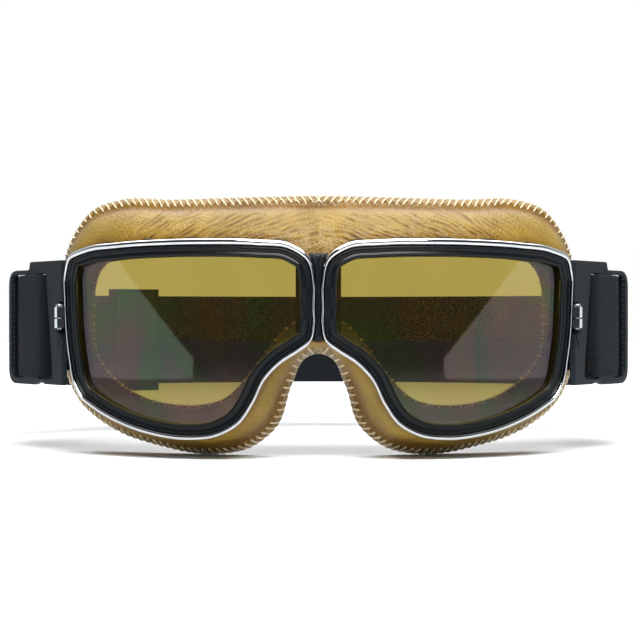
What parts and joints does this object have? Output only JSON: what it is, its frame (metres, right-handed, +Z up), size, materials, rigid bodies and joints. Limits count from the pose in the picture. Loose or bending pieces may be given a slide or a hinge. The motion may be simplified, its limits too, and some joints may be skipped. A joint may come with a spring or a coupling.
{
  "type": "motorcycle goggles",
  "caption": "Leather riding goggles with two chrome-rimmed tinted lenses, a folding bridge, strap wings and an adjustable elastic head strap.",
  "frame": {"origin": "middle of the bounding box at its base, under the mask", "axes": "+X to the right eye seen from the front, along the width; +Y from the lenses to the back of the head; +Z up"},
  "size_m": [0.2427, 0.177, 0.093],
  "materials": {
    "chrome": "polished chrome plate",
    "screw": "plated steel",
    "gasket": "satin black rubber",
    "lens": "amber tinted, mirror coated at the temples",
    "eyecup": "moulded black",
    "leather": "golden tan, waxed, fine creases",
    "foam": "open cell foam",
    "lining": "dark brushed face lining",
    "wing": "satin slate black",
    "elastic": "knitted elastic, navy black",
    "boot": "ribbed black rubber",
    "slider": "moulded black"
  },
  "bodies": {
    "left_half": {"rim_left": "chrome", "clamp_lugs_left": "chrome", "gasket_left": "gasket", "lens_left": "lens", "eyecup_left": "eyecup", "vent_hoods_left": "eyecup", "mask_leather_left": "leather", "mask_foam_left": "foam", "mask_lining_left": "lining", "wing_left": "wing", "strap_left": "elastic", "bridge_leaf_left": "eyecup", "bridge_pin": "screw", "bridge_boot": "boot"},
    "right_half": {"rim_right": "chrome", "clamp_lugs_right": "chrome", "gasket_right": "gasket", "lens_right": "lens", "eyecup_right": "eyecup", "vent_hoods_right": "eyecup", "mask_leather_right": "leather", "mask_foam_right": "foam", "mask_lining_right": "lining", "wing_right": "wing", "strap_right": "elastic", "bridge_leaf_right": "eyecup"},
    "clamp_screw_left": {"clamp_screw_left": "screw"},
    "clamp_screw_right": {"clamp_screw_right": "screw"},
    "strap_slider": {"strap_slider": "slider"}
  },
  "joints": [
    {"name": "bridge_fold", "type": "hinge", "parent": "left_half", "child": "right_half", "pos_m": [0, -0.079, 0.056], "axis": [0, 0, 1], "range_deg": [-3, 12]},
    {"name": "clamp_screw_left_turn", "type": "hinge", "parent": "left_half", "child": "clamp_screw_left", "pos_m": [-0.094, -0.055, 0.05], "axis": [0, 0, 1], "continuous": true},
    {"name": "clamp_screw_right_turn", "type": "hinge", "parent": "right_half", "child": "clamp_screw_right", "pos_m": [0.094, -0.055, 0.05], "axis": [0, 0, 1], "continuous": true},
    {"name": "slider_travel", "type": "hinge", "parent": "left_half", "child": "strap_slider", "pos_m": [0, -0.079, 0.04], "axis": [0, 0, 1], "range_deg": [-8, 1]}
  ]
}
